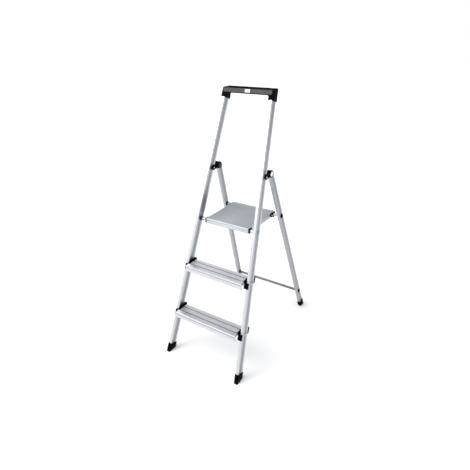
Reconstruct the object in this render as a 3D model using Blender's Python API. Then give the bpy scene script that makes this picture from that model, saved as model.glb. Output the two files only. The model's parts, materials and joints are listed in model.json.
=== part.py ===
"""A free-standing folding stepladder: two treads, a platform and a high safety rail.

Metres, +Z up. X runs along the treads and the object is the same on both sides of X = 0.
The treads face -Y and the rear legs stand at +Y. The origin is on the floor, at the
centre of the ladder's box.

The stiles, treads and rail form the fixed frame. The rear legs turn about the hinge pins,
and the platform turns about the rod through the stiles and hooks over the rod between
the legs.
"""

import math

import bmesh
import bpy
from mathutils import Matrix, Vector

# Driving dimensions
FLOOR_DEPTH = 0.7405  # front of the front feet to back of the rear feet
HEIGHT = 1.242
PLATFORM_HEIGHT = 0.660
TREAD_RISE = 0.225
TREAD_DEPTH = 0.080
TREAD_THICKNESS = 0.028
SIDES = {"left": -1, "right": 1}
GAP = 0.0003  # between pieces that touch
RUNNING_GAP = 0.0002  # round a rod that a piece turns on
CUT_PAST = 0.010  # how far a cutter runs past the face that it opens
BORE_FROM = 0.090  # a bore through one side of the ladder runs over these distances from X = 0
BORE_TO = 0.250
CORNER = 0.002  # corner radius of the tubes and of what grips them

# Stiles and rear legs: slope and taper are run over rise
STILE_LEAN = 0.336
STILE_TAPER = 0.0659
STILE_HALF_SPAN = 0.206  # outer faces, at the floor
STILE_WIDTH = 0.0148
STILE_DEPTH = 0.0415
LEG_LEAN = 0.3743
LEG_TAPER = 0.0735
LEG_HALF_SPAN = 0.2127
LEG_WIDTH = 0.0150
LEG_DEPTH = 0.0307
TUBE_WALL = 0.0015
CHANNEL_RECESS = 0.0006  # a shallow channel runs along each side face
BOOT_WALL = 0.0024
BOOT_HEIGHT = 0.041
MEMBER_LOW = 0.012  # the tubes start this far up inside their shoes
STILE_TOP = 1.297  # along the stile, from the floor
LEG_TOP = 0.020  # how far below the hinge pin the leg's tube ends

STILE_ANGLE = math.atan(STILE_LEAN)
LEG_ANGLE = math.atan(LEG_LEAN)
STILE_RUN = STILE_DEPTH / math.cos(STILE_ANGLE)  # level distance from front face to rear face
LEG_RUN = LEG_DEPTH / math.cos(LEG_ANGLE)
STILE_FOOT_Y = -FLOOR_DEPTH / 2 + BOOT_WALL / math.cos(STILE_ANGLE)
LEG_FOOT_Y = FLOOR_DEPTH / 2 - BOOT_WALL / math.cos(LEG_ANGLE) - LEG_RUN

# Joints and rods, as (Y, Z)
LEG_PIVOT = (0.006, 0.886)
ROD_HEIGHT = 0.648
ROD_RADIUS = 0.007
CROSS_TUBE_HEIGHT = 0.1195
CROSS_TUBE_RADIUS = 0.0065
PIVOT_PIN_RADIUS = 0.004

# Platform tray
PLATFORM_HALF_WIDTH = 0.1163
PLATFORM_DEPTH = 0.252
PLATFORM_SKIRT = 0.025
SHEET = 0.002
FRONT_ROD = (-0.118, ROD_HEIGHT)
PLATFORM_FRONT_Y = FRONT_ROD[0] - 0.0105

ALUMINIUM = ("aluminium", (0.72, 0.73, 0.75, 1), 0.35, 1.0)
PLATE = ("ribbed_aluminium", (0.55, 0.57, 0.60, 1), 0.45, 1.0)
STEEL = ("zinc_plated_steel", (0.50, 0.50, 0.46, 1), 0.35, 1.0)
BLACK = ("black_plastic", (0.02, 0.02, 0.022, 1), 0.55, 0.0)
GREY = ("dark_grey_plastic", (0.08, 0.08, 0.085, 1), 0.5, 0.0)
WHITE = ("white_label", (0.85, 0.85, 0.87, 1), 0.4, 0.0)


def clear_scene():
    for obj in list(bpy.data.objects):
        bpy.data.objects.remove(obj)


def material_for(look):
    name, colour, roughness, metallic = look
    found = bpy.data.materials.get(name)
    if found:
        return found
    made = bpy.data.materials.new(name)
    made.use_nodes = True
    shader = made.node_tree.nodes["Principled BSDF"]
    shader.inputs["Base Color"].default_value = colour
    shader.inputs["Roughness"].default_value = roughness
    shader.inputs["Metallic"].default_value = metallic
    made.diffuse_color = colour
    return made


# Meshes


def circle(radius, segments=24, centre=(0.0, 0.0)):
    turns = (2 * math.pi * i / segments for i in range(segments))
    return [(centre[0] + radius * math.cos(a), centre[1] + radius * math.sin(a)) for a in turns]


def quarter_arc(radius, steps, centre):
    """Points from straight right of the centre to straight above it."""
    turns = (math.pi / 2 * i / steps for i in range(steps + 1))
    return [(centre[0] + radius * math.cos(a), centre[1] + radius * math.sin(a)) for a in turns]


def rounded_rectangle(width, depth, radius, steps=3):
    """Corners as arcs, anticlockwise from the +X +Y corner."""
    points = []
    for corner, (sx, sy) in enumerate(((1, 1), (-1, 1), (-1, -1), (1, -1))):
        for step in range(steps + 1):
            angle = (corner + step / steps) * math.pi / 2
            x = sx * (width / 2 - radius) + radius * math.cos(angle)
            y = sy * (depth / 2 - radius) + radius * math.sin(angle)
            points.append((x, y))
    return points


def prism(outline, low, high, plane="xy", shear=0.0):
    """The outline in the named plane, drawn out from low to high along the third axis.

    shear moves every point along Y by that much per unit of Z.
    """
    first, second = "xyz".index(plane[0]), "xyz".index(plane[1])
    third = 3 - first - second
    bm = bmesh.new()
    ends = []
    for level in (low, high):
        ring = []
        for point in outline:
            place = Vector((0.0, 0.0, 0.0))
            place[first] = point[0]
            place[second] = point[1]
            place[third] = level
            place.y += shear * place.z
            ring.append(bm.verts.new(place))
        ends.append(ring)
    bm.faces.new(ends[0])
    bm.faces.new(ends[1])
    for i in range(len(outline)):
        bm.faces.new((ends[0][i], ends[0][i - 1], ends[1][i - 1], ends[1][i]))
    bmesh.ops.recalc_face_normals(bm, faces=bm.faces)
    return bm


def hollow_prism(outer, inner, low, high):
    """A tube along Z. The two outlines have as many points as each other."""
    bm = bmesh.new()
    rings = []
    for outline, level in ((outer, low), (outer, high), (inner, high), (inner, low)):
        rings.append([bm.verts.new((x, y, level)) for x, y in outline])
    for near, far in zip(rings, rings[1:] + rings[:1]):
        for i in range(len(near)):
            bm.faces.new((near[i], near[i - 1], far[i - 1], far[i]))
    bmesh.ops.recalc_face_normals(bm, faces=bm.faces)
    return bm


def turned(profile, segments=24, ring=False):
    """The profile, as (radius, x) points, turned about X. A ring's profile closes on itself."""
    bm = bmesh.new()
    loops = []
    for radius, x in profile:
        if radius == 0:
            loops.append([bm.verts.new((x, 0, 0))] * segments)
        else:
            loops.append([bm.verts.new((x, y, z)) for y, z in circle(radius, segments)])
    pairs = list(zip(loops, loops[1:]))
    if ring:
        pairs.append((loops[-1], loops[0]))
    for near, far in pairs:
        for i in range(segments):
            corners = dict.fromkeys((near[i], near[i - 1], far[i - 1], far[i]))
            if len(corners) > 2:
                bm.faces.new(list(corners))
    bmesh.ops.recalc_face_normals(bm, faces=bm.faces)
    return bm


def rod_along_x(radius, low, high, centre, segments=24):
    return prism(circle(radius, segments, centre), low, high, "yz")


def hull_prism(points, width, plane):
    """The convex hull of points in the named plane, drawn out by the width about that plane."""
    bm = prism(points, -width / 2, width / 2, plane)
    bmesh.ops.delete(bm, geom=bm.faces, context="FACES_ONLY")
    made = bmesh.ops.convex_hull(bm, input=bm.verts)
    spare = [item for item in made["geom_interior"] if isinstance(item, bmesh.types.BMVert)]
    bmesh.ops.delete(bm, geom=spare, context="VERTS")
    bmesh.ops.dissolve_limit(bm, angle_limit=math.radians(1), verts=bm.verts, edges=bm.edges)
    return bm


def box(low, high):
    outline = [(low[0], low[1]), (high[0], low[1]), (high[0], high[1]), (low[0], high[1])]
    return prism(outline, low[2], high[2])


# Objects


def object_from(name, bm, look, frame, parent):
    mesh = bpy.data.meshes.new(name)
    bm.to_mesh(mesh)
    bm.free()
    mesh.materials.append(material_for(look))
    obj = bpy.data.objects.new(name, mesh)
    bpy.context.scene.collection.objects.link(obj)
    obj.matrix_basis = frame
    if parent:
        obj.parent = parent
        obj.matrix_parent_inverse = Matrix.Translation(parent.location).inverted()
    return obj


def add(name, bm, look, parent, frame=None):
    """A sub-part, shaded smooth except at its sharp edges."""
    obj = object_from(name, bm, look, frame or Matrix(), parent)
    obj.data.shade_smooth()
    obj.data.set_sharp_from_angle(angle=math.radians(35))
    return obj


def boolean(obj, bm, operation="DIFFERENCE", frame=None):
    """Cuts the mesh from the object, or joins it on."""
    tool = object_from(obj.name + "_tool", bm, BLACK, frame or Matrix(), obj.parent)
    tool.hide_render = True
    tool.display_type = "WIRE"
    modifier = obj.modifiers.new(operation.lower(), "BOOLEAN")
    modifier.object = tool
    modifier.operation = operation
    modifier.solver = "EXACT"


def bevel(obj, width, segments=2, angle=40):
    modifier = obj.modifiers.new("bevel", "BEVEL")
    modifier.width = width
    modifier.segments = segments
    modifier.limit_method = "ANGLE"
    modifier.angle_limit = math.radians(angle)


def pivot_empty(name, place):
    empty = bpy.data.objects.new(name, None)
    empty.location = (0, place[0], place[1])
    bpy.context.scene.collection.objects.link(empty)
    return empty


# Places on the two leaning frames


def stile_front(z):
    return STILE_FOOT_Y + STILE_LEAN * z


def leg_centre(z):
    return LEG_FOOT_Y - LEG_LEAN * z + LEG_RUN / 2


def stile_outer(z):
    return STILE_HALF_SPAN - STILE_TAPER * z


def leg_outer(z):
    return LEG_HALF_SPAN - LEG_TAPER * z


def member_frame(side, foot_y, angle, half_span, taper, width, depth):
    """Local Z runs up the member's centre line from the floor, Y to the rear and X to the right."""
    plane = Matrix.Translation((0, foot_y, 0)) @ Matrix.Rotation(-angle, 4, "X")
    spread = math.atan(taper * math.cos(angle))
    centre_x = side * (half_span - width / 2 / math.cos(spread))
    foot = Matrix.Translation((centre_x, depth / 2, depth / 2 * math.tan(angle)))
    return plane @ foot @ Matrix.Rotation(-side * spread, 4, "Y")


def stile_frame(side):
    place = (STILE_FOOT_Y, STILE_ANGLE, STILE_HALF_SPAN, STILE_TAPER, STILE_WIDTH, STILE_DEPTH)
    return member_frame(side, *place)


def leg_frame(side):
    place = (LEG_FOOT_Y, -LEG_ANGLE, LEG_HALF_SPAN, LEG_TAPER, LEG_WIDTH, LEG_DEPTH)
    return member_frame(side, *place)


def on_member(frame, y, z, face=0.0):
    """The member's frame, moved to where the level line at (y, z) crosses its plane x = face."""
    into = frame.inverted()
    start = into @ Vector((0, y, z))
    direction = into.to_3x3() @ Vector((1, 0, 0))
    meeting = start + direction * ((face - start.x) / direction.x)
    return frame @ Matrix.Translation(meeting)


REAR_ROD = (leg_centre(ROD_HEIGHT), ROD_HEIGHT)
CROSS_TUBE = (leg_centre(CROSS_TUBE_HEIGHT), CROSS_TUBE_HEIGHT)


# Stiles, legs and feet


def tube_section(width, depth):
    """A rounded rectangle with a shallow channel along each side face."""
    half_channel = depth * 0.24
    slope = 0.0008
    edge = width / 2
    channel = [(edge, -half_channel - slope), (edge - CHANNEL_RECESS, -half_channel)]
    channel += [(edge - CHANNEL_RECESS, half_channel), (edge, half_channel + slope)]
    corners = rounded_rectangle(width, depth, CORNER)
    quarter = len(corners) // 4
    right = channel + corners[:quarter]
    left = corners[quarter : 3 * quarter]
    left[quarter:quarter] = [(-x, -y) for x, y in channel]
    return right + left + corners[3 * quarter :]


def round_section(width, depth):
    """The outline of a pocket that a tube of this width and depth slips into."""
    return rounded_rectangle(width + 2 * GAP, depth + 2 * GAP, CORNER)


def inset(outline, distance):
    return [(x - math.copysign(distance, x), y - math.copysign(distance, y)) for x, y in outline]


def plug_outline(width, depth):
    """The outline of a plug that slips into a tube of this width and depth."""
    across = TUBE_WALL + CHANNEL_RECESS + GAP
    along = TUBE_WALL + 2 * GAP
    return rounded_rectangle(width - 2 * across, depth - 2 * along, CORNER)


def add_member(name, frame, section, low, high, parent):
    tube = hollow_prism(section, inset(section, TUBE_WALL), low, high)
    return add(name, tube, ALUMINIUM, parent, frame)


def bore(obj, radius, side, place, segments=24):
    """A round hole along X through one side of the ladder."""
    low, high = sorted((side * BORE_FROM, side * BORE_TO))
    boolean(obj, rod_along_x(radius, low, high, place, segments))


def add_boot(name, frame, width, depth, angle, parent):
    """A plastic shoe over a member's lower end, with its sole flat on the floor."""
    outline = rounded_rectangle(width + 2 * BOOT_WALL, depth + 2 * BOOT_WALL, CORNER + 0.001)
    top = BOOT_HEIGHT / math.cos(angle) - depth / 2 * math.tan(abs(angle))
    below_floor = -depth
    boot = add(name, prism(outline, below_floor, top), BLACK, parent, frame)
    boolean(boot, box((-1, -1, -1), (1, 1, 0)))
    pocket = round_section(width, depth)
    boolean(boot, prism(pocket, MEMBER_LOW - GAP, top + CUT_PAST), frame=frame)


def cut_for_stile(obj, side, low, high):
    """Makes room for the stile between these two heights along it."""
    around = round_section(STILE_WIDTH, STILE_DEPTH)
    boolean(obj, prism(around, low, high), frame=stile_frame(side))


def add_stile(name, side, parent):
    frame = stile_frame(side)
    section = tube_section(STILE_WIDTH, STILE_DEPTH)
    stile = add_member("front_stile_" + name, frame, section, MEMBER_LOW, STILE_TOP, parent)
    bore(stile, ROD_RADIUS + GAP, side, FRONT_ROD)
    bore(stile, BRACKET_RIVET_RADIUS + GAP, side, BRACKET_RIVET)
    cut_bow_rivet_hole(stile, side)
    for tread_top in TREAD_TOPS:
        for place in tread_screw_places(tread_top):
            bore(stile, SCREW_RADIUS + GAP, side, place)
    add_boot("front_foot_" + name, frame, STILE_WIDTH, STILE_DEPTH, STILE_ANGLE, parent)


def pivot_on_leg(frame):
    """The hinge pin's place in the leg's own frame."""
    return frame.inverted() @ on_member(frame, *LEG_PIVOT).translation


def add_rear_leg(name, side, parent):
    frame = leg_frame(side)
    section = tube_section(LEG_WIDTH, LEG_DEPTH)
    high = pivot_on_leg(frame).z - LEG_TOP
    leg = add_member("rear_leg_" + name, frame, section, MEMBER_LOW, high, parent)
    bore(leg, ROD_RADIUS + GAP, side, REAR_ROD)
    bore(leg, CROSS_TUBE_RADIUS + GAP, side, CROSS_TUBE)
    add_boot("rear_foot_" + name, frame, LEG_WIDTH, LEG_DEPTH, LEG_ANGLE, parent)
    add_leg_knuckle(name, side, frame, high, parent)


def add_leg_knuckle(name, side, frame, tube_end, parent):
    """The plastic eye on the leg's top, with a plug down inside the tube."""
    pivot = pivot_on_leg(frame)
    half = LEG_DEPTH / 2
    outline = circle(KNUCKLE_RADIUS, 32, (pivot.y, pivot.z))
    shoulder = 0.004
    for end in (-half, half):
        outline.append((end, tube_end + GAP))
        rounding_y = math.copysign(half - shoulder, end)
        outline += circle(shoulder, 16, (rounding_y, tube_end + GAP + shoulder))
    eye = hull_prism(outline, LEG_WIDTH, "yz")
    knuckle = add("leg_knuckle_" + name, eye, BLACK, parent, frame)
    plug_length = 0.028
    plug = prism(plug_outline(LEG_WIDTH, LEG_DEPTH), tube_end - plug_length, tube_end + shoulder)
    boolean(knuckle, plug, "UNION", frame)
    bore(knuckle, PIVOT_PIN_RADIUS + RUNNING_GAP, side, LEG_PIVOT)


# Treads

TREAD_TOPS = (TREAD_RISE, 2 * TREAD_RISE)
TREAD_NAMES = ("lower", "upper")
TREAD_OVERHANG = TREAD_DEPTH - STILE_RUN - 0.001  # in front of the stiles
TREAD_END_GAP = 0.007  # between the tread and the stile, filled by the end cap
SCREW_DROP = 0.014  # screws below the tread's top
SCREW_RADIUS = 0.002
SCREW_BITE = 0.018  # how far the screws reach into the tread
PORT_HALF_WIDTH = 0.0045
EXTRUSION_WALL = 0.002


def tread_front(tread_top):
    return stile_front(tread_top) - TREAD_OVERHANG


def tread_half_length(tread_top):
    return stile_outer(tread_top) - STILE_WIDTH - TREAD_END_GAP


def tread_screw_places(tread_top):
    z = tread_top - SCREW_DROP
    return [(stile_front(z) + share * STILE_RUN, z) for share in (0.36, 0.76)]


def tread_section(tread_top):
    """The extrusion's outline in Y and Z: a downward channel with two screw ports and two grooves."""
    wall = EXTRUSION_WALL
    front = tread_front(tread_top)
    groove_width = 0.0016
    groove_depth = 0.0008
    lip_return = 0.008
    rear_lip = 0.022
    nose = [(0, -TREAD_THICKNESS), (0, -0.0095), (0.0008, -0.009), (0.0008, -0.008), (0, -0.0075)]
    nose += [(0, -0.002), (0.0006, -0.0006), (0.002, 0)]
    top = []
    for share in (0.3, 0.675):
        start = share * TREAD_DEPTH
        stop = start + groove_width
        top += [(start, 0), (start, -groove_depth), (stop, -groove_depth), (stop, 0)]
    end = TREAD_DEPTH
    rear = [(end - 0.002, 0), (end - 0.0006, -0.0006), (end, -0.002), (end, -rear_lip)]
    rear += [(end - lip_return, -rear_lip), (end - lip_return, wall - rear_lip)]
    rear += [(end - wall, wall - rear_lip), (end - wall, -wall)]
    ports = []
    for screw_y, screw_z in reversed(tread_screw_places(tread_top)):
        middle = screw_y - front
        bottom = screw_z - tread_top - PORT_HALF_WIDTH
        ports += [(middle + PORT_HALF_WIDTH, -wall), (middle + PORT_HALF_WIDTH, bottom)]
        ports += [(middle - PORT_HALF_WIDTH, bottom), (middle - PORT_HALF_WIDTH, -wall)]
    under = [(wall, -wall), (wall, wall - TREAD_THICKNESS)]
    under += [(lip_return, wall - TREAD_THICKNESS), (lip_return, -TREAD_THICKNESS)]
    outline = nose + top + rear + ports + under
    return [(front + y, tread_top + z) for y, z in outline]


def add_tread(name, tread_top, parent):
    half = tread_half_length(tread_top)
    tread = add("tread_" + name, prism(tread_section(tread_top), -half, half, "yz"), ALUMINIUM, parent)
    for place in tread_screw_places(tread_top):
        for side in SIDES.values():
            low, high = sorted((side * (half - SCREW_BITE - GAP), side * (half + CUT_PAST)))
            boolean(tread, rod_along_x(SCREW_RADIUS + GAP, low, high, place, 16))


def add_tread_cap(tread_name, tread_top, name, side, parent):
    """A plastic end cap with a raised lip on the tread, a pad before the stile and a block behind it."""
    inner = tread_half_length(tread_top) + GAP
    outer = stile_outer(tread_top) - GAP
    plate_outer = inner + 0.0045
    low = tread_top - TREAD_THICKNESS
    lip_top = tread_top + 0.0025
    step_down = 0.0005
    front = stile_front(tread_top) - 0.010
    rear = tread_front(tread_top) + TREAD_DEPTH + 0.001
    x_range = sorted((side * inner, side * plate_outer))
    plate = box((x_range[0], front, low), (x_range[1], rear, lip_top - step_down))
    cap = add("tread_cap_%s_%s" % (tread_name, name), plate, BLACK, parent)
    seat = tread_top + GAP
    lip = [(inner - 0.007, seat), (inner - 0.0045, lip_top), (plate_outer, lip_top)]
    lip += [(plate_outer, tread_top - 0.002), (inner, tread_top - 0.002), (inner, seat)]
    boolean(cap, prism([(side * x, z) for x, z in lip], front, rear, "xz"), "UNION")
    middle = STILE_RUN / 2
    pad = (-0.005, middle, low - 0.003, tread_top - 0.007)
    block = (middle, STILE_RUN + 0.0135, low + step_down, tread_top - step_down)
    for near, far, bottom, top in (pad, block):
        corners = [(inner, near), (outer, near), (outer, far), (inner, far)]
        outline = [(side * x, STILE_FOOT_Y + y) for x, y in corners]
        boolean(cap, prism(outline, bottom, top, shear=STILE_LEAN), "UNION")
    cut_for_stile(cap, side, tread_top - 0.1, tread_top + 0.15)
    for place in tread_screw_places(tread_top):
        bore(cap, SCREW_RADIUS + GAP, side, place, 16)


def add_tread_screws(tread_name, tread_top, name, side, parent):
    """Pan-head screws through the stile and the end cap into the tread's screw ports."""
    head_radius = 0.0042
    head_height = 0.0022
    tip = tread_half_length(tread_top) - SCREW_BITE
    for which, (y, z) in zip(("front", "rear"), tread_screw_places(tread_top)):
        seat = stile_outer(z) + STILE_TAPER * head_radius + 2 * GAP
        profile = [(0, tip), (SCREW_RADIUS, tip), (SCREW_RADIUS, seat), (head_radius, seat)]
        profile += [(head_radius, seat + head_height * 0.5), (head_radius * 0.7, seat + head_height)]
        profile += [(0, seat + head_height)]
        screw = turned([(radius, side * x) for radius, x in profile], 16)
        label = "tread_screw_%s_%s_%s" % (tread_name, name, which)
        add(label, screw, STEEL, parent, Matrix.Translation((0, y, z)))


# Safety rail's bow

BOW_WALL = 0.0025
BOW_BOTTOM = 1.180  # of the outline, before the sockets are cut to length
BOW_UNDERSIDE = 1.2175
BOW_LEG_WIDTH = 0.0215
BOW_RIVET_RADIUS = 0.002
BOW_RIVET_UP = 1.2445  # along the stile, from the floor
BOW_RIVET_LENGTH = 0.010
BOW_SOCKET_LOW = 1.261  # along the stile: the sockets end here, square to it
BOW_SPIGOT_LOW = 1.2245  # along the stile: where the bow's spigot inside the tube starts


def bow_outline():
    """The bow from the front: a bar between two short sockets."""
    right = [(0, HEIGHT)]
    corner = 0.007
    top_x = stile_outer(HEIGHT) + BOW_WALL
    right += reversed(quarter_arc(corner, 4, (top_x - corner, HEIGHT - corner)))
    bottom_x = stile_outer(BOW_BOTTOM) + BOW_WALL
    inner_x = bottom_x - BOW_LEG_WIDTH
    right += [(bottom_x, BOW_BOTTOM), (inner_x, BOW_BOTTOM)]
    fillet = 0.006
    right += quarter_arc(fillet, 3, (inner_x - fillet, BOW_UNDERSIDE - fillet))
    return right + [(-x, z) for x, z in reversed(right[1:])]


def add_bow(parent):
    """A plastic bar with a tray on top, and at each end a socket round the stile and a spigot in it."""
    front = STILE_FOOT_Y - BOW_WALL
    rear = STILE_FOOT_Y + STILE_RUN + BOW_WALL
    bow = add("safety_bow", prism(bow_outline(), front, rear, "xz", STILE_LEAN), BLACK, parent)
    half_tray = 0.1
    rim = 0.0035
    near, far = front + rim, rear - rim
    tray = [(-half_tray, near), (half_tray, near), (half_tray, far), (-half_tray, far)]
    tray_floor = HEIGHT - 0.009
    web = 0.004
    boolean(bow, prism(tray, tray_floor, HEIGHT + CUT_PAST, shear=STILE_LEAN))
    boolean(bow, prism(tray, BOW_UNDERSIDE - CUT_PAST, tray_floor - web, shear=STILE_LEAN))
    for side in SIDES.values():
        below = box((-0.03, -STILE_DEPTH, BOW_BOTTOM), (0.03, STILE_DEPTH, BOW_SOCKET_LOW))
        boolean(bow, below, frame=stile_frame(side))
        cut_for_stile(bow, side, BOW_BOTTOM, STILE_TOP + GAP)
        spigot = prism(plug_outline(STILE_WIDTH, STILE_DEPTH), BOW_SPIGOT_LOW, STILE_TOP + 0.003)
        boolean(bow, spigot, "UNION", stile_frame(side))
        cut_bow_rivet_hole(bow, side)


def add_blank_label(parent):
    """A plain sticker on the bow's front."""
    half_width, half_height, thickness = 0.0125, 0.0065, 0.0006
    label = box((-half_width, -thickness, -half_height), (half_width, 0, half_height))
    middle = (HEIGHT + BOW_UNDERSIDE) / 2
    level = stile_front(middle) - BOW_WALL - GAP / math.cos(STILE_ANGLE)
    beside_middle = 0.003
    frame = Matrix.Translation((beside_middle, level, middle)) @ Matrix.Rotation(-STILE_ANGLE, 4, "X")
    add("blank_label", label, WHITE, parent, frame)


def bow_rivet_frame(side):
    """X points forwards out of the stile's front face, at the rivet."""
    face = Matrix.Translation((0, -STILE_DEPTH / 2, BOW_RIVET_UP))
    return stile_frame(side) @ face @ Matrix.Rotation(-math.pi / 2, 4, "Z")


def cut_bow_rivet_hole(obj, side):
    hole = rod_along_x(BOW_RIVET_RADIUS + GAP, -BOW_RIVET_LENGTH - GAP, CUT_PAST, (0, 0), 16)
    boolean(obj, hole, frame=bow_rivet_frame(side))


def add_bow_rivet(name, side, parent):
    """A blind rivet through the stile's front wall into the bow's spigot."""
    head = 0.0036
    profile = [(0, -BOW_RIVET_LENGTH), (BOW_RIVET_RADIUS, -BOW_RIVET_LENGTH)]
    profile += [(BOW_RIVET_RADIUS, GAP), *rivet_head(head, GAP)]
    add("bow_rivet_" + name, turned(profile, 16), STEEL, parent, bow_rivet_frame(side))


def rivet_head(radius, seat):
    """A domed head above the seat, as (radius, x) points ending on the axis."""
    return [(radius, seat), (radius * 0.6, seat + radius * 0.35), (0, seat + radius * 0.45)]


def add_rivet(label, frame, half_length, radius, head, parent):
    """A rivet along the frame's X, with a domed head at each end."""
    half = [(radius, half_length), *rivet_head(head, half_length)]
    profile = [(r, -x) for r, x in reversed(half)] + half
    add(label, turned(profile, 16), STEEL, parent, frame)


# Hinges

BRACKET_RIVET = (-0.037, 0.882)
BRACKET_RIVET_RADIUS = 0.0025
KNUCKLE_RADIUS = 0.0155
SMALL_LOBE = 0.0115
LARGE_LOBE = 0.0165
WAIST = 0.020  # the bracket's width between its lobes
FORK_GAP = 0.0018  # between the leg's eye and the fork's floor
CHEEK = 0.0035
CHEEK_GAP = 0.0012
HINGE_INNER = stile_outer(0.91) - STILE_WIDTH - CHEEK_GAP
HINGE_OUTER = leg_outer(LEG_PIVOT[1]) + CHEEK_GAP + 0.0006


def add_hinge_bracket(name, side, parent):
    """A two-lobed bracket: one end grips the stile, the other is a fork for the leg's eye."""
    low, high = sorted((side * (HINGE_INNER - CHEEK), side * (HINGE_OUTER + CHEEK)))
    large_lobe = rod_along_x(LARGE_LOBE, low, high, LEG_PIVOT, 40)
    bracket = add("hinge_bracket_" + name, large_lobe, BLACK, parent)
    boolean(bracket, rod_along_x(SMALL_LOBE, low, high, BRACKET_RIVET, 32), "UNION")
    start, end = Vector(BRACKET_RIVET), Vector(LEG_PIVOT)
    along = end - start
    across = Vector((-along.y, along.x)).normalized() * WAIST / 2
    bar = [start + across, start - across, end - across, end + across]
    boolean(bracket, prism(bar, low, high, "yz"), "UNION")
    cut_for_stile(bracket, side, 0.8, 1.1)
    low, high = sorted((side * HINGE_INNER, side * HINGE_OUTER))
    boolean(bracket, rod_along_x(KNUCKLE_RADIUS + FORK_GAP, low, high, LEG_PIVOT, 40))
    bore(bracket, PIVOT_PIN_RADIUS + RUNNING_GAP, side, LEG_PIVOT)
    bore(bracket, BRACKET_RIVET_RADIUS + GAP, side, BRACKET_RIVET)


def add_hinge_pin(name, side, parent):
    """The pin that the leg turns on, with its broad head outside and a plastic cap inside."""
    head_radius = 0.0115
    edge = 0.001
    seat = HINGE_OUTER + CHEEK + GAP
    inner_face = HINGE_INNER - CHEEK - GAP
    pin_end = inner_face - 0.002
    profile = [(0, pin_end), (PIVOT_PIN_RADIUS, pin_end), (PIVOT_PIN_RADIUS, seat)]
    profile += [(head_radius, seat), (head_radius, seat + 0.0015)]
    profile += [(head_radius - edge, seat + 0.0024), (0, seat + 0.0028)]
    frame = Matrix.Translation((0, *LEG_PIVOT))
    pin = turned([(r, side * x) for r, x in profile], 32)
    add("hinge_pin_" + name, pin, ALUMINIUM, parent, frame)
    cap_top = inner_face - 0.004
    pocket = PIVOT_PIN_RADIUS + GAP
    pocket_floor = pin_end - GAP
    profile = [(0, cap_top), (head_radius - 1.5 * edge, cap_top)]
    profile += [(head_radius, cap_top + 1.5 * edge), (head_radius, inner_face)]
    profile += [(pocket, inner_face), (pocket, pocket_floor), (0, pocket_floor)]
    cap = turned([(r, side * x) for r, x in profile], 32)
    add("hinge_cap_" + name, cap, GREY, parent, frame)


def add_bracket_rivet(name, side, parent):
    low, high = HINGE_INNER - CHEEK, HINGE_OUTER + CHEEK
    middle = side * (low + high) / 2
    frame = Matrix.Translation((middle, *BRACKET_RIVET))
    half = (high - low) / 2 + GAP
    add_rivet("bracket_rivet_" + name, frame, half, BRACKET_RIVET_RADIUS, 0.0042, parent)


# Rods across the ladder


def add_cross_rod(name, radius, half_length, place, parent):
    hollow = radius - 0.0012
    section = [(radius, -half_length), (radius, half_length)]
    section += [(hollow, half_length), (hollow, -half_length)]
    add(name, turned(section, 24, ring=True), STEEL, parent, Matrix.Translation((0, *place)))


def add_washer(label, frame, side, rod_radius, parent):
    """A plastic collar round a rod, against the inner face of a stile or leg."""
    hole = rod_radius + 0.0006
    rim = rod_radius + 0.0035
    near, far = GAP, GAP + 0.003
    profile = [(hole, near), (rim, near), (rim, far - 0.001), (rim - 0.001, far), (hole, far)]
    add(label, turned([(r, -side * x) for r, x in profile], 24, ring=True), BLACK, parent, frame)


def add_end_cap(label, frame, side, rod_radius, parent):
    """A domed plug in a rod's open end, against the outer face."""
    spigot = rod_radius - 0.0022
    rim = rod_radius + 0.0045
    near = GAP
    profile = [(0, near - 0.006), (spigot, near - 0.006), (spigot, near), (rim, near)]
    profile += [(rim, near + 0.0015), (rim * 0.75, near + 0.0035), (0, near + 0.0042)]
    add(label, turned([(r, side * x) for r, x in profile], 24), BLACK, parent, frame)


def add_rear_rods(parent):
    rods = (
        ("platform_support_rod", REAR_ROD, ROD_RADIUS),
        ("lower_cross_tube", CROSS_TUBE, CROSS_TUBE_RADIUS),
    )
    for rod_name, place, radius in rods:
        half_length = leg_outer(place[1]) - LEG_TAPER * radius - GAP
        add_cross_rod(rod_name, radius, half_length, place, parent)
        for name, side in SIDES.items():
            inner_face = on_member(leg_frame(side), *place, -side * LEG_WIDTH / 2)
            add_washer("%s_washer_%s" % (rod_name, name), inner_face, side, radius, parent)
            outer_face = on_member(leg_frame(side), *place, side * LEG_WIDTH / 2)
            add_end_cap("%s_cap_%s" % (rod_name, name), outer_face, side, radius, parent)


def add_front_rod(parent):
    """The rod through both stiles that the platform turns on, its ends flattened into rivet heads."""
    y, z = FRONT_ROD
    seat = stile_outer(z + 0.004) + 2 * GAP
    half_rod = [(0, seat + 0.0012), (ROD_RADIUS + 0.0005, seat + 0.0012), (ROD_RADIUS + 0.0015, seat)]
    half_rod += [(ROD_RADIUS, seat)]
    profile = half_rod + [(r, -x) for r, x in reversed(half_rod)]
    add("platform_pivot_rod", turned(profile, 24), STEEL, parent, Matrix.Translation((0, y, z)))
    for name, side in SIDES.items():
        inner_face = on_member(stile_frame(side), y, z, -side * STILE_WIDTH / 2)
        add_washer("pivot_rod_washer_" + name, inner_face, side, ROD_RADIUS, parent)


# Platform


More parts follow.
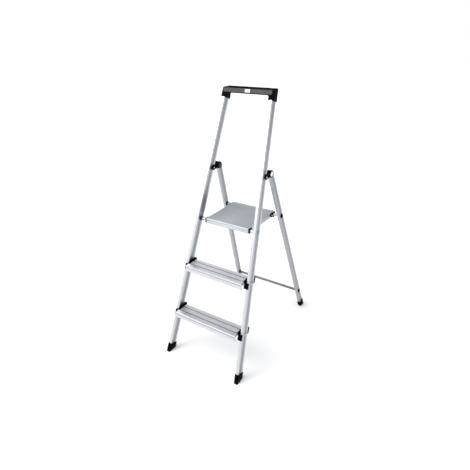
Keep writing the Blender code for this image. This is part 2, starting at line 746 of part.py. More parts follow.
def add_platform(parent):
    """A pressed tray, turned over: deck on top and a skirt all round."""
    middle_y = PLATFORM_FRONT_Y + PLATFORM_DEPTH / 2
    frame = Matrix.Translation((0, middle_y, 0))
    low, high = PLATFORM_HEIGHT - PLATFORM_SKIRT, PLATFORM_HEIGHT
    outer = rounded_rectangle(2 * PLATFORM_HALF_WIDTH, PLATFORM_DEPTH, 0.004)
    tray = add("platform", prism(outer, low, high), PLATE, parent, frame)
    bevel(tray, 0.0015)
    inner = rounded_rectangle(2 * (PLATFORM_HALF_WIDTH - SHEET), PLATFORM_DEPTH - 2 * SHEET, 0.002)
    boolean(tray, prism(inner, low - CUT_PAST, high - SHEET), frame=frame)
    for side in SIDES.values():
        bore(tray, BEARING_SLEEVE + GAP, side, FRONT_ROD)
    reach = PLATFORM_HALF_WIDTH + CUT_PAST
    boolean(tray, prism(hook_slot(SLOT_RADIUS + 0.001), -reach, reach, "yz"))
    for side in SIDES.values():
        bore(tray, HOOK_RIVET_RADIUS + GAP, side, HOOK_RIVET)


SLOT_RADIUS = ROD_RADIUS + GAP
BEARING_SLEEVE = 0.0092
SLOT_LEAN = math.radians(26.5)  # the way the rod leaves the hook, from straight down
HOOK_RIVET_RADIUS = 0.002
HOOK_RIVET = (REAR_ROD[0] - 0.021, ROD_HEIGHT + 0.002)


def hook_slot(radius):
    """A slot over the rear rod, open downwards and forwards."""
    away = Vector((-math.sin(SLOT_LEAN), -math.cos(SLOT_LEAN)))
    across = Vector((-away.y, away.x))
    centre = Vector(REAR_ROD)
    outline = []
    steps = 12
    for step in range(steps + 1):
        angle = math.pi * step / steps
        outline.append(centre + (across * math.cos(angle) - away * math.sin(angle)) * radius)
    mouth = centre + away * 0.05
    flare = across * (radius + 0.002)
    return outline + [mouth - flare, mouth + flare]


def add_platform_hook(name, side, parent):
    """A plastic hook outside the tray's side that rests on the rear rod."""
    y, z = REAR_ROD
    inner, outer = PLATFORM_HALF_WIDTH + GAP, PLATFORM_HALF_WIDTH + 0.0063
    low, high = sorted((side * inner, side * outer))
    front, rear = y - 0.028, PLATFORM_FRONT_Y + PLATFORM_DEPTH
    top = PLATFORM_HEIGHT - 0.003
    bottom = PLATFORM_HEIGHT - PLATFORM_SKIRT - 0.004
    outline = [(front, z - 0.006), (y - 0.006, bottom), (y + 0.008, bottom)]
    outline += [(rear, z - 0.008), (rear, top), (front, top)]
    hook = add("platform_hook_" + name, prism(outline, low, high, "yz"), BLACK, parent)
    bevel(hook, 0.001)
    slot_low, slot_high = sorted((side * (inner - CUT_PAST), side * (outer + CUT_PAST)))
    boolean(hook, prism(hook_slot(SLOT_RADIUS), slot_low, slot_high, "yz"))
    bore(hook, HOOK_RIVET_RADIUS + GAP, side, HOOK_RIVET)
    frame = Matrix.Translation((side * (inner + outer - SHEET) / 2, *HOOK_RIVET))
    half = (outer - inner + SHEET) / 2 + 1.5 * GAP
    add_rivet("hook_rivet_" + name, frame, half, HOOK_RIVET_RADIUS, 0.0036, parent)


def add_platform_bearing(name, side, parent):
    """A plastic bush through the tray's side, with a block against its outer face."""
    face = PLATFORM_HALF_WIDTH + GAP
    edge = 0.001
    low, high = PLATFORM_HEIGHT - PLATFORM_SKIRT + edge, PLATFORM_HEIGHT - edge
    block_width, block_depth, sleeve_length = 0.004, 0.023, 0.010
    near, far = sorted((side * face, side * (face + block_width)))
    block = box((near, PLATFORM_FRONT_Y, low), (far, PLATFORM_FRONT_Y + block_depth, high))
    bearing = add("platform_bearing_" + name, block, BLACK, parent)
    bevel(bearing, edge)
    near, far = sorted((side * (face - sleeve_length), side * (face + block_width / 2)))
    boolean(bearing, rod_along_x(BEARING_SLEEVE, near, far, FRONT_ROD, 32), "UNION")
    bore(bearing, ROD_RADIUS + RUNNING_GAP, side, FRONT_ROD, 32)


def build():
    clear_scene()
    front_frame = pivot_empty("front_frame", (0, 0))
    rear_frame = pivot_empty("rear_frame", LEG_PIVOT)
    platform = pivot_empty("platform_frame", FRONT_ROD)
    for name, side in SIDES.items():
        add_stile(name, side, front_frame)
        add_hinge_bracket(name, side, front_frame)
        add_hinge_pin(name, side, front_frame)
        add_bracket_rivet(name, side, front_frame)
        add_bow_rivet(name, side, front_frame)
        add_rear_leg(name, side, rear_frame)
        add_platform_bearing(name, side, platform)
        add_platform_hook(name, side, platform)
    for tread_name, tread_top in zip(TREAD_NAMES, TREAD_TOPS):
        add_tread(tread_name, tread_top, front_frame)
        for name, side in SIDES.items():
            add_tread_cap(tread_name, tread_top, name, side, front_frame)
            add_tread_screws(tread_name, tread_top, name, side, front_frame)
    add_bow(front_frame)
    add_blank_label(front_frame)
    add_front_rod(front_frame)
    add_rear_rods(rear_frame)
    add_platform(platform)


build()
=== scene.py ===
"""The folding stepladder's looks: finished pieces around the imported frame, materials, light and camera.

Metres, in the frame's own axes: the treads face -Y, the rear legs stand at +Y and Z is up.
"""

import json
import math

import bmesh
import bpy
from mathutils import Matrix, Vector


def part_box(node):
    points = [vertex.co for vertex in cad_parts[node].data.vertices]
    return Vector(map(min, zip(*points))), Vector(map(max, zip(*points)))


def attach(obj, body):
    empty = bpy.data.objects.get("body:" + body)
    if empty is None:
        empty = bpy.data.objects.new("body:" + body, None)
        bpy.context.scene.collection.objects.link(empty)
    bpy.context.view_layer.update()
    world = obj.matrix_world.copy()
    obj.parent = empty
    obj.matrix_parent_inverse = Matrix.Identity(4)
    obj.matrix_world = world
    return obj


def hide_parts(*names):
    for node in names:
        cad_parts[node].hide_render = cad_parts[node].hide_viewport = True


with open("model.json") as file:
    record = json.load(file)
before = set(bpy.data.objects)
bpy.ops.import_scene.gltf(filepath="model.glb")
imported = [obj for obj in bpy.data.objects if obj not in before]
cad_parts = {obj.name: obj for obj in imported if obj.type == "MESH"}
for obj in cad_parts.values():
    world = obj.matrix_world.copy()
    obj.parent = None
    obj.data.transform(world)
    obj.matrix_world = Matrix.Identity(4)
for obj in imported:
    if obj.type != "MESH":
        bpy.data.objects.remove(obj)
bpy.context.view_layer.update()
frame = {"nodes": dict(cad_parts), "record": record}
RECORD = frame["record"]
BODIES = RECORD["behaviour"]["bodies"]
BODY_OF = {node: body for body, nodes in BODIES.items() for node in nodes}
SIDES = {"left": -1, "right": 1}

CUT_PAST = 0.010  # how far a cutter runs past the face that it opens
WELD = 0.000002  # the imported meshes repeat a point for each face, this close together


# Materials


def shader_node(tree, kind, **values):
    """A node with its unlinked inputs set by name, with _ for a space."""
    made = tree.nodes.new(kind)
    for name, value in values.items():
        made.inputs[name.replace("_", " ")].default_value = value
    return made


def noise_along(tree, scale, stretch):
    """Noise in the piece's own axes. A small number in stretch draws it out along that axis."""
    place = tree.nodes.new("ShaderNodeTexCoord")
    mapping = shader_node(tree, "ShaderNodeMapping", Scale=stretch)
    noise = shader_node(tree, "ShaderNodeTexNoise", Scale=scale, Detail=3.0, Roughness=0.55)
    tree.links.new(place.outputs["Object"], mapping.inputs["Vector"])
    tree.links.new(mapping.outputs["Vector"], noise.inputs["Vector"])
    return noise.outputs["Fac"]


def remap(tree, value, low, high):
    """Spreads the middle of a noise's range from low to high."""
    made = shader_node(tree, "ShaderNodeMapRange", From_Min=0.3, From_Max=0.7, To_Min=low, To_Max=high)
    tree.links.new(value, made.inputs["Value"])
    return made.outputs["Result"]


def vary_colour(tree, shader, colour, spread, value):
    """The base colour drifts by the spread, darker and lighter, with the value."""
    ramp = tree.nodes.new("ShaderNodeValToRGB")
    for element, place, factor in zip(ramp.color_ramp.elements, (0.3, 0.7), (1 - spread, 1 + spread)):
        element.position = place
        element.color = (*(min(1.0, channel * factor) for channel in colour), 1)
    tree.links.new(value, ramp.inputs["Fac"])
    tree.links.new(ramp.outputs["Color"], shader.inputs["Base Color"])


def add_bump(tree, shader, value, depth, strength):
    bump = shader_node(tree, "ShaderNodeBump", Distance=depth, Strength=strength)
    tree.links.new(value, bump.inputs["Height"])
    tree.links.new(bump.outputs["Normal"], shader.inputs["Normal"])


def new_material(name, metallic):
    made = bpy.data.materials.new(name)
    made.use_nodes = True
    shader = made.node_tree.nodes["Principled BSDF"]
    shader.inputs["Metallic"].default_value = metallic
    return made, made.node_tree, shader


def drawn_metal(name, colour, roughness, lines):
    """Metal with die lines along one axis, cloudy at arm's length and never quite even."""
    made, tree, shader = new_material(name, 1.0)
    fine = noise_along(tree, 1.0, lines)
    cloud = noise_along(tree, 9.0, (1.0, 1.0, 1.0))
    vary_colour(tree, shader, colour, 0.035, cloud)
    tree.links.new(remap(tree, fine, roughness - 0.05, roughness + 0.07), shader.inputs["Roughness"])
    add_bump(tree, shader, fine, 0.00003, 0.5)
    return made


def moulded_plastic(name, colour, roughness, gloss=0.07):
    """Plastic with the fine spark-eroded grain of its mould."""
    made, tree, shader = new_material(name, 0.0)
    shader.inputs["Specular IOR Level"].default_value = gloss
    grain = noise_along(tree, 1400.0, (1.0, 1.0, 1.0))
    cloud = noise_along(tree, 25.0, (1.0, 1.0, 1.0))
    vary_colour(tree, shader, colour, 0.12, cloud)
    tree.links.new(remap(tree, cloud, roughness - 0.05, roughness + 0.05), shader.inputs["Roughness"])
    add_bump(tree, shader, grain, 0.00004, 0.6)
    return made


ALONG_X = (4.0, 1500.0, 1500.0)
ALONG_Z = (1500.0, 1500.0, 4.0)
EVEN = (600.0, 600.0, 600.0)
STILE_METAL = drawn_metal("extruded_aluminium_upright", (0.58, 0.59, 0.62), 0.34, ALONG_Z)
# Painted shade: the legs get a darker copy of the uprights' aluminium.
SHADED_LEG_METAL = drawn_metal("extruded_aluminium_leg_painted_shade", (0.43, 0.435, 0.46), 0.36, ALONG_Z)
# Painted shade: a darker copy of the upright's aluminium, for the recess of the side channel.
CHANNEL_SHADE_METAL = drawn_metal("extruded_aluminium_channel_painted_shade", (0.31, 0.32, 0.35), 0.42, ALONG_Z)
TREAD_METAL = drawn_metal("extruded_aluminium_tread", (0.60, 0.61, 0.64), 0.36, ALONG_X)
# Painted highlight: a lighter copy of the tread's aluminium, for the ribs' upward faces.
RIB_HIGHLIGHT_METAL = drawn_metal("tread_ribs_painted_highlight", (0.80, 0.81, 0.84), 0.36, ALONG_X)
# Painted shade: a dark copy of the aluminium, for the grooves and the line along the tread's front.
GROOVE_SHADE_METAL = drawn_metal("aluminium_in_a_groove_painted_shade", (0.26, 0.26, 0.28), 0.5, ALONG_X)
DECK_METAL = drawn_metal("ribbed_deck_aluminium", (0.53, 0.565, 0.60), 0.42, ALONG_X)
PIN_METAL = drawn_metal("turned_aluminium", (0.90, 0.91, 0.92), 0.30, EVEN)
ROD_METAL = drawn_metal("zinc_plated_steel", (0.42, 0.42, 0.42), 0.36, ALONG_X)
TUBE_METAL = drawn_metal("dull_galvanised_tube", (0.15, 0.15, 0.153), 0.42, ALONG_X)
SCREW_METAL = drawn_metal("zinc_plated_fastener", (0.66, 0.66, 0.64), 0.30, EVEN)
BLACK = moulded_plastic("black_moulded_plastic", (0.0015, 0.0015, 0.0018), 0.48, 0.025)
BOW_FACE = moulded_plastic("dark_grained_face", (0.075, 0.075, 0.078), 0.62)
GREY = moulded_plastic("dark_grey_moulded_plastic", (0.06, 0.06, 0.065), 0.5)
STICKER = moulded_plastic("white_sticker", (0.86, 0.87, 0.90), 0.35)


# Meshes


def circle(radius, segments, centre=(0.0, 0.0)):
    turns = (2 * math.pi * i / segments for i in range(segments))
    return [(centre[0] + radius * math.cos(a), centre[1] + radius * math.sin(a)) for a in turns]


def arc(centre, radius, start, end, steps):
    """Points along an arc, its angles in degrees from the first axis."""
    turns = (math.radians(start + (end - start) * i / steps) for i in range(steps + 1))
    return [(centre[0] + radius * math.cos(a), centre[1] + radius * math.sin(a)) for a in turns]


def rounded_rectangle(width, height, radius, steps=6):
    points = []
    for corner, (across, up) in enumerate(((1, 1), (-1, 1), (-1, -1), (1, -1))):
        centre = (across * (width / 2 - radius), up * (height / 2 - radius))
        points += arc(centre, radius, 90 * corner, 90 * corner + 90, steps)
    return points


def prism(outline, low, high, plane):
    """The outline in the named plane, drawn out from low to high along the third axis."""
    first, second = "xyz".index(plane[0]), "xyz".index(plane[1])
    third = 3 - first - second
    bm = bmesh.new()
    ends = []
    for level in (low, high):
        ring = []
        for point in outline:
            place = [0.0, 0.0, 0.0]
            place[first], place[second], place[third] = point[0], point[1], level
            ring.append(bm.verts.new(place))
        bm.faces.new(ring)
        ends.append(ring)
    for i in range(len(outline)):
        bm.faces.new((ends[0][i], ends[0][i - 1], ends[1][i - 1], ends[1][i]))
    bmesh.ops.recalc_face_normals(bm, faces=bm.faces)
    return bm


def block(low, high):
    outline = [(low[0], low[1]), (high[0], low[1]), (high[0], high[1]), (low[0], high[1])]
    return prism(outline, low[2], high[2], "xy")


def joined(parts):
    """One mesh of several that don't touch each other."""
    whole = bmesh.new()
    for part in parts:
        mesh = bpy.data.meshes.new("part")
        part.to_mesh(mesh)
        part.free()
        whole.from_mesh(mesh)
        bpy.data.meshes.remove(mesh)
    return whole


def turned(profile, segments=48):
    """The profile, as (radius, x) points that start and end on the axis, turned about X."""
    bm = bmesh.new()
    loops = []
    for radius, x in profile:
        if radius == 0:
            loops.append([bm.verts.new((x, 0, 0))] * segments)
        else:
            loops.append([bm.verts.new((x, y, z)) for y, z in circle(radius, segments)])
    for near, far in zip(loops, loops[1:]):
        for i in range(segments):
            corners = dict.fromkeys((near[i], near[i - 1], far[i - 1], far[i]))
            if len(corners) > 2:
                bm.faces.new(list(corners))
    bmesh.ops.recalc_face_normals(bm, faces=bm.faces)
    return bm


def solid_of(node):
    """The CAD node's mesh with its repeated points welded and its flat faces whole again."""
    bm = bmesh.new()
    bm.from_mesh(frame["nodes"][node].data)
    bmesh.ops.remove_doubles(bm, verts=bm.verts, dist=WELD)
    bmesh.ops.dissolve_limit(bm, angle_limit=math.radians(0.5), verts=bm.verts, edges=bm.edges)
    return bm


# Objects


def object_from(name, bm, look, place=None):
    mesh = bpy.data.meshes.new(name)
    bm.to_mesh(mesh)
    bm.free()
    mesh.materials.append(look)
    obj = bpy.data.objects.new(name, mesh)
    bpy.context.scene.collection.objects.link(obj)
    obj.matrix_world = place or Matrix()
    return obj


def settle(obj):
    """Applies the object's modifiers to its mesh."""
    bpy.context.view_layer.update()
    graph = bpy.context.evaluated_depsgraph_get()
    settled = bpy.data.meshes.new_from_object(obj.evaluated_get(graph))
    obj.modifiers.clear()
    obj.data = settled


def combine(obj, bm, operation, look=None, place=None):
    """Cuts the mesh from the object or joins it on, with its own look on the faces that it makes."""
    tool = object_from("tool", bm, look or obj.data.materials[0], place)
    modifier = obj.modifiers.new("combine", "BOOLEAN")
    modifier.object = tool
    modifier.operation = operation
    modifier.solver = "EXACT"
    modifier.material_mode = "TRANSFER"
    settle(obj)
    bpy.data.objects.remove(tool)


def soften(obj, width, segments=3):
    """Rounds the sharp edges and shades what is round as round."""
    if width:
        modifier = obj.modifiers.new("soften", "BEVEL")
        modifier.width = width
        modifier.segments = segments
        modifier.limit_method = "ANGLE"
        modifier.angle_limit = math.radians(32)
        settle(obj)
    obj.data.shade_smooth()
    obj.data.set_sharp_from_angle(angle=math.radians(38))


def paint(obj, look, chosen):
    """Gives the look to each face that the test picks."""
    obj.data.materials.append(look)
    for face in obj.data.polygons:
        if chosen(face):
            face.material_index = len(obj.data.materials) - 1


def stand_for(obj, node):
    """The piece rides where the CAD node does, and is shown in its place."""
    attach(obj, BODY_OF[node])
    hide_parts(node)


def finished(node, look, width, place=None):
    """The CAD node's own shape with softened edges."""
    bm = solid_of(node)
    if place:
        bmesh.ops.transform(bm, matrix=place.inverted(), verts=bm.verts)
    obj = object_from(node + "_finished", bm, look, place)
    soften(obj, width)
    stand_for(obj, node)
    return obj


# Uprights


def member_place(node):
    """A frame at the middle of the member's lower end: Z runs up it, X to the right, Y to the rear."""
    points = [vertex.co for vertex in frame["nodes"][node].data.vertices]
    rough = Vector((0, 0, 1))
    for _ in range(4):
        heights = [point.dot(rough) for point in points]
        reach = 0.0005
        top = [p for p, h in zip(points, heights) if h > max(heights) - reach]
        bottom = [p for p, h in zip(points, heights) if h < min(heights) + reach]
        top_middle = sum(top, Vector()) / len(top)
        bottom_middle = sum(bottom, Vector()) / len(bottom)
        rough = (top_middle - bottom_middle).normalized()
    rearwards = rough.cross(Vector((1, 0, 0))).normalized()
    across = rearwards.cross(rough)
    turn = Matrix((across, rearwards, rough)).transposed()
    return Matrix.Translation(bottom_middle) @ turn.to_4x4()


def add_member(node):
    """The channel along a stile's side is painted darker than the rest, as painted shade in its recess."""
    # The legs take the darker copy of the aluminium as painted shade.
    look = SHADED_LEG_METAL if node.startswith("rear_leg") else STILE_METAL
    obj = finished(node, look, 0.0, member_place(node))
    half = max(vertex.co.x for vertex in obj.data.vertices)

    def in_channel(face):
        return abs(face.normal.x) > 0.9 and 0.0002 < half - abs(face.center.x) < 0.0012

    # Paints shade into the channel: its faces get the darker copy of the aluminium.
    paint(obj, CHANNEL_SHADE_METAL, in_channel)


def add_foot(foot, member):
    """A moulded shoe with a groove round it below its rim, and slots across its sole."""
    obj = object_from(foot + "_finished", solid_of(foot), BLACK)
    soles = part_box(foot)
    place = member_place(member)
    local = [place.inverted() @ vertex.co for vertex in obj.data.vertices]
    top = max(point.z for point in local)
    rim = [point for point in local if point.z > top - 0.001]
    width = 2 * max(point.x for point in rim)
    depth = 2 * max(point.y for point in rim)
    groove_depth, groove_height = 0.0007, 0.0014
    below_rim, corner = 0.006, 0.003
    level = top - below_rim
    core = rounded_rectangle(width - 2 * groove_depth, depth - 2 * groove_depth, corner)
    around = rounded_rectangle(width + CUT_PAST, depth + CUT_PAST, corner)
    band = prism(around, level, level + groove_height, "xy")
    cutter = object_from("cutter", band, BLACK)
    combine(cutter, prism(core, level - CUT_PAST, level + CUT_PAST, "xy"), "DIFFERENCE")
    ring = bmesh.new()
    ring.from_mesh(cutter.data)
    bpy.data.objects.remove(cutter)
    combine(obj, ring, "DIFFERENCE", place=place)
    slot_width, slot_depth, pitch = 0.0016, 0.0012, 0.006
    count = int((soles[1].y - soles[0].y - pitch) / pitch)
    middle = (soles[0].y + soles[1].y) / 2
    slots = []
    for i in range(count):
        y = middle + (i - (count - 1) / 2) * pitch
        low = (soles[0].x - CUT_PAST, y - slot_width / 2, -CUT_PAST)
        high = (soles[1].x + CUT_PAST, y + slot_width / 2, slot_depth)
        slots.append(block(low, high))
    combine(obj, joined(slots), "DIFFERENCE")
    soften(obj, 0.0005, 2)
    stand_for(obj, foot)


# Treads


RIB_PITCH = 0.0028
RIB_GROOVE = 0.0006  # the depth, and the width too


def rib_places(start, end):
    """The middles of the fine grooves between the ribs from start to end."""
    count = round((end - start) / RIB_PITCH)
    return [start + (end - start) * i / count for i in range(1, count)]


def rib_field(start, end, top):
    """A surface of flat ribs with a fine groove between each two, as (y, z) points."""
    points = [(start, top)]
    for middle in rib_places(start, end):
        near, far = middle - RIB_GROOVE / 2, middle + RIB_GROOVE / 2
        points += [(near, top), (middle, top - RIB_GROOVE), (far, top)]
    return points + [(end, top)]


def screw_port(centre, under):
    """A C-shaped port for a self-tapping screw, hanging from the underside, from rear to front."""
    outer, inner, slot = 0.0044, 0.0023, 24
    reach = math.degrees(math.asin(min(0.95, (under - centre[1]) / outer)))
    points = arc(centre, outer, reach, slot - 90, 10)
    points += arc(centre, inner, slot - 90, 270 - slot, 20)
    points += arc(centre, outer, 270 - slot, 180 - reach, 10)
    return points


TREAD_GROOVE = 0.0046
NOSE_DROP = 0.0082  # from the tread's top to the line along its front
NOSE_LINE = 0.0024


def tread_grooves(low, high):
    """Where the two wide grooves along the tread's top start."""
    return [low.y + share * (high.y - low.y) for share in (0.29, 0.665)]


def tread_outline(low, high, screws):
    """The extrusion's section in Y and Z, from its box and the places of its screws."""
    front, rear = low.y, high.y
    top, bottom = high.z, low.z
    wall = 0.0019
    corner = 0.0025
    groove_depth = 0.0019
    floor = top - groove_depth
    line = top - NOSE_DROP
    half_line, line_depth = NOSE_LINE / 2, 0.0009
    outline = [(front, bottom + 0.0008), (front, line - half_line), (front + line_depth, line - half_line)]
    outline += [(front + line_depth, line + half_line), (front, line + half_line)]
    outline += [(front, top - corner), (front + 0.0008, top - 0.0008)]
    start = front + corner
    for groove in tread_grooves(low, high):
        outline += rib_field(start, groove, top)
        start = groove + TREAD_GROOVE
        outline += [(groove + 0.0003, floor), (start - 0.0003, floor)]
    outline += rib_field(start, rear - corner, top)
    lip_low = top - 0.022
    outline += [(rear - 0.0008, top - 0.0008), (rear, top - corner)]
    outline += [(rear, lip_low), (rear - 0.008, lip_low), (rear - 0.008, lip_low + wall)]
    under = floor - wall
    outline += [(rear - wall, lip_low + wall), (rear - wall, under)]
    for centre in sorted(screws, reverse=True):
        outline += screw_port(centre, under)
    outline += [(front + wall, under), (front + wall, bottom + wall), (front + 0.008, bottom + wall)]
    outline += [(front + 0.008, bottom), (front + 0.0008, bottom)]
    return outline


def add_tread(level):
    node = "tread_" + level
    low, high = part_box(node)
    screws = []
    for end in ("front", "rear"):
        screw_low, screw_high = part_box("tread_screw_%s_right_%s" % (level, end))
        middle = (screw_low + screw_high) / 2
        screws.append((middle.y, middle.z))
    bm = prism(tread_outline(low, high, screws), low.x, high.x, "yz")
    obj = object_from(node + "_finished", bm, TREAD_METAL)
    soften(obj, 0.0)

    # The faces in the wide grooves and in the line along the front, which get painted shade.
    def in_groove(face):
        y, z = face.center.y, face.center.z
        on_front = low.y + 0.0002 < y < low.y + 0.001 and abs(high.z - NOSE_DROP - z) < NOSE_LINE
        across = any(start < y < start + TREAD_GROOVE for start in tread_grooves(low, high))
        return on_front or across and face.normal.z > -0.1 and high.z - 0.0025 < z < high.z - 0.0001

    # Paints a highlight on the ribs' upward faces.
    paint(obj, RIB_HIGHLIGHT_METAL, lambda face: face.normal.z > 0.5 and face.center.z > high.z - 0.001)
    # Paints shade into the grooves and the front line.
    paint(obj, GROOVE_SHADE_METAL, in_groove)
    stand_for(obj, node)


# Platform


def add_platform():
    """The turned-over tray with a ribbed deck, a line along its lips and grooves along its sides."""
    low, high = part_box("platform")
    obj = object_from("platform_finished", solid_of("platform"), DECK_METAL)
    line, depth = 0.0018, 0.0009
    edge = 0.004  # left plain all round the deck, and at the lips' ends
    middle = (low.z + high.z) / 2
    cuts = []
    for y in (low.y, high.y):
        ends = (low.x + edge, high.x - edge)
        cuts.append(block((ends[0], y - depth, middle - line / 2), (ends[1], y + depth, middle + line / 2)))
    for x in (low.x, high.x):
        for share in (0.28, 0.72):
            z = low.z + share * (high.z - low.z)
            cuts.append(block((x - depth, low.y + 0.026, z - line), (x + depth, high.y - 0.048, z + line)))
    for y in rib_places(low.y + edge, high.y - edge):
        outline = [(y - RIB_GROOVE, high.z + RIB_GROOVE), (y, high.z - RIB_GROOVE)]
        outline.append((y + RIB_GROOVE, high.z + RIB_GROOVE))
        cuts.append(prism(outline, low.x + edge, high.x - edge, "yz"))
    combine(obj, joined(cuts), "DIFFERENCE")
    soften(obj, 0.0)
    stand_for(obj, "platform")


# Safety rail


def front_slope():
    """A turn that leans with the stiles' front faces."""
    up = member_place("front_stile_right").col[2]
    return Matrix.Rotation(-math.atan2(up.y, up.z), 4, "X")


def add_bow():
    """The rail with grained panels sunk in its bar and sockets, and a rolled rim along its rear."""
    low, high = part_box("safety_bow")
    obj = object_from("safety_bow_finished", solid_of("safety_bow"), BLACK)
    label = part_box("blank_label")
    middle = (label[0] + label[1]) / 2
    sunk = 0.0006
    on_face = Matrix.Translation((0, middle.y, middle.z)) @ front_slope() @ Matrix.Translation((0, sunk, 0))
    corner = 0.003
    bar_length, bar_height = 0.246, 0.0185
    bar = prism(rounded_rectangle(bar_length, bar_height, corner), -CUT_PAST, sunk, "xz")
    combine(obj, bar, "DIFFERENCE", BOW_FACE, on_face)
    half_length, leg_width = 0.0125, 0.0165
    inward, forward = 0.0009, 0.0231  # from the stile's centre line to the middle of its panel
    for name, side in SIDES.items():
        stile = member_place("front_stile_" + name)
        top = (stile.inverted() @ Vector((0, middle.y, middle.z))).z
        place = stile @ Matrix.Translation((-inward * side, -forward, top - half_length))
        leg = prism(rounded_rectangle(leg_width, 2 * half_length, corner), -CUT_PAST, sunk, "xz")
        combine(obj, leg, "DIFFERENCE", BOW_FACE, place)
    rim_radius, short_of_end = 0.0030, 0.005
    rim_place = Matrix.Translation((0, high.y - rim_radius * 0.4, high.z - rim_radius))
    half = high.x - short_of_end
    bead = prism(circle(rim_radius, 24), -half, half, "yz")
    combine(obj, bead, "UNION", place=rim_place)
    soften(obj, 0.0005)
    stand_for(obj, "safety_bow")


def add_label():
    low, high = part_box("blank_label")
    place = Matrix.Translation((low + high) / 2) @ front_slope()
    width = high.x - low.x
    height, corner, front, back = width * 0.52, 0.0012, -0.0003, 0.0013
    bm = prism(rounded_rectangle(width, height, corner), front, back, "xz")
    obj = object_from("blank_label_finished", bm, STICKER, place)
    soften(obj, 0.00015, 2)
    stand_for(obj, "blank_label")


# Small parts


def add_ring(bracket, disc, away):
    """A ring of the bracket round one of its discs. away is the side that the disc faces."""
    low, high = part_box(disc)
    radius = (high.z - low.z) / 2
    middle = (low + high) / 2
    face = high.x if away > 0 else low.x
    top, foot = -0.0004, 0.0036
    place = Matrix.Translation((face, middle.y, middle.z))
    outer, chamfer = radius + 0.0049, 0.0012
    profile = [(0, top), (outer - chamfer, top), (outer, top - chamfer), (outer, -foot), (0, -foot)]
    combine(bracket, turned([(r, away * x) for r, x in profile], 64), "UNION", place=place)
    inner, seat = radius + 0.0002, -0.0029
    profile = [(0, CUT_PAST), (inner, CUT_PAST), (inner, seat), (0, seat)]
    combine(bracket, turned([(r, away * x) for r, x in profile], 64), "DIFFERENCE", place=place)


def add_disc(node, look, away):
    """A broad head with a rolled edge and a dimple in the middle, on its shank if it has one."""
    low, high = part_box(node)
    radius = (high.z - low.z) / 2
    middle = (low + high) / 2
    face = high.x if away > 0 else low.x
    thickness = 0.0027
    shank = 0.004
    profile = [(0, 0), (radius * 0.36, 0), (radius * 0.44, -0.0004), (radius * 0.52, 0)]
    profile += [(radius - 0.0012, 0), (radius - 0.0004, -0.0003), (radius, -0.0009)]
    profile.append((radius, -thickness))
    if look is PIN_METAL:
        profile += [(shank, -thickness), (shank, low.x - high.x), (0, low.x - high.x)]
    else:
        profile.append((0, -thickness))
    place = Matrix.Translation((face, middle.y, middle.z))
    obj = object_from(node + "_finished", turned([(r, away * x) for r, x in profile], 64), look, place)
    soften(obj, 0.0)
    stand_for(obj, node)


def add_hinge(name):
    side = SIDES[name]
    bracket = object_from("hinge_bracket_%s_finished" % name, solid_of("hinge_bracket_" + name), BLACK)
    add_ring(bracket, "hinge_pin_" + name, side)
    add_ring(bracket, "hinge_cap_" + name, -side)
    soften(bracket, 0.0007)
    stand_for(bracket, "hinge_bracket_" + name)
    finished("leg_knuckle_" + name, BLACK, 0.0006)
    add_disc("hinge_pin_" + name, PIN_METAL, side)
    add_disc("hinge_cap_" + name, GREY, -side)


def add_small_parts():
    for node in sorted(BODY_OF):
        if node.startswith("tread_cap"):
            finished(node, BLACK, 0.0007)
        elif "washer" in node or "_cap_" in node and node.startswith(("platform_support", "lower_cross")):
            finished(node, BLACK, 0.0003)
        elif node.startswith(("platform_hook", "platform_bearing")):
            finished(node, BLACK, 0.0004)
        elif node == "lower_cross_tube":
            finished(node, TUBE_METAL, 0.0003)
        elif node in ("platform_pivot_rod", "platform_support_rod"):
            finished(node, ROD_METAL, 0.0003)
        elif "rivet" in node or node.startswith("tread_screw"):
            finished(node, SCREW_METAL, 0.0002)


# Stage


def add_floor():
    bm = block((-30, -30, -0.05), (30, 30, 0))
    made, tree, shader = new_material("pale_floor", 0.0)
    shader.inputs["Roughness"].default_value = 0.9
    vary_colour(tree, shader, (0.93, 0.93, 0.93), 0.004, noise_along(tree, 3.0, (1.0, 1.0, 1.0)))
    object_from("floor", bm, made)


def add_light(name, kind, towards, energy):
    data = bpy.data.lights.new(name, kind)
    data.energy = energy
    light = bpy.data.objects.new(name, data)
    light.rotation_euler = Vector(towards).to_track_quat("-Z", "Y").to_euler()
    bpy.context.scene.collection.objects.link(light)
    return light


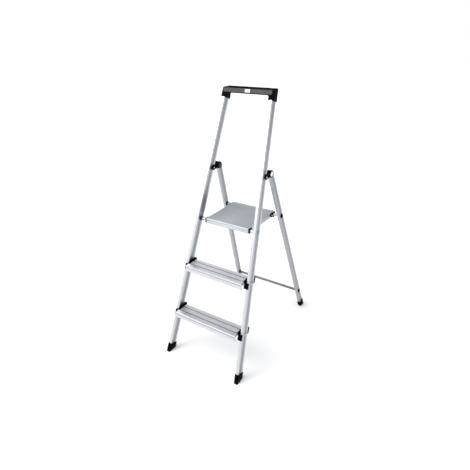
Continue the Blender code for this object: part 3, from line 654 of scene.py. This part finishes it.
def add_world():
    """A white backdrop to look at. What the metal reflects is brighter in front and to the left."""
    world = bpy.data.worlds.new("studio")
    bpy.context.scene.world = world
    world.use_nodes = True
    tree = world.node_tree
    backdrop = tree.nodes["Background"]
    backdrop.inputs["Color"].default_value = (1, 1, 1, 1)
    surround = tree.nodes.new("ShaderNodeBackground")
    ramp = tree.nodes.new("ShaderNodeValToRGB")
    ramp.color_ramp.elements[0].color = (0.40, 0.41, 0.43, 1)
    ramp.color_ramp.elements[1].color = (1, 1, 1, 1)
    toward_key = tree.nodes.new("ShaderNodeVectorMath")
    toward_key.operation = "DOT_PRODUCT"
    toward_key.inputs[1].default_value = Vector((-0.55, -0.75, 0.37)).normalized()
    direction = tree.nodes.new("ShaderNodeTexCoord")
    spread = shader_node(tree, "ShaderNodeMapRange", From_Min=-1.0, From_Max=1.0)
    choice = tree.nodes.new("ShaderNodeMixShader")
    tree.links.new(direction.outputs["Generated"], toward_key.inputs[0])
    tree.links.new(toward_key.outputs["Value"], spread.inputs["Value"])
    tree.links.new(spread.outputs["Result"], ramp.inputs["Fac"])
    tree.links.new(ramp.outputs["Color"], surround.inputs["Color"])
    tree.links.new(tree.nodes.new("ShaderNodeLightPath").outputs["Is Camera Ray"], choice.inputs["Fac"])
    tree.links.new(surround.outputs["Background"], choice.inputs[1])
    tree.links.new(backdrop.outputs["Background"], choice.inputs[2])
    tree.links.new(choice.outputs["Shader"], tree.nodes["World Output"].inputs["Surface"])


def add_lights():
    add_world()
    add_light("key", "SUN", (0.40, 0.55, -0.73), 2.1).data.angle = math.radians(70)
    upper = add_light("upper_fill", "AREA", (0.55, 0.8, -0.35), 9)
    upper.location = (-0.95, -1.4, 1.75)
    upper.data.size = 0.8


def add_camera():
    """Stands to the right in front of the treads and looks down on them."""
    data = bpy.data.cameras.new("camera")
    data.sensor_width = 36.0
    data.lens = 30.66
    data.shift_y = -0.0426
    camera = bpy.data.objects.new("camera", data)
    camera.location = (0.9206, -1.5281, 1.4212)
    camera.rotation_euler = (math.radians(90 - 23.244), 0, math.radians(32.005))
    bpy.context.scene.collection.objects.link(camera)
    bpy.context.scene.camera = camera


for side_name in SIDES:
    add_member("front_stile_" + side_name)
    add_member("rear_leg_" + side_name)
    add_foot("front_foot_" + side_name, "front_stile_" + side_name)
    add_foot("rear_foot_" + side_name, "rear_leg_" + side_name)
    add_hinge(side_name)
for tread_level in ("lower", "upper"):
    add_tread(tread_level)
add_platform()
add_bow()
add_label()
add_small_parts()
add_floor()
add_lights()
add_camera()
bpy.context.scene.view_settings.view_transform = "Standard"
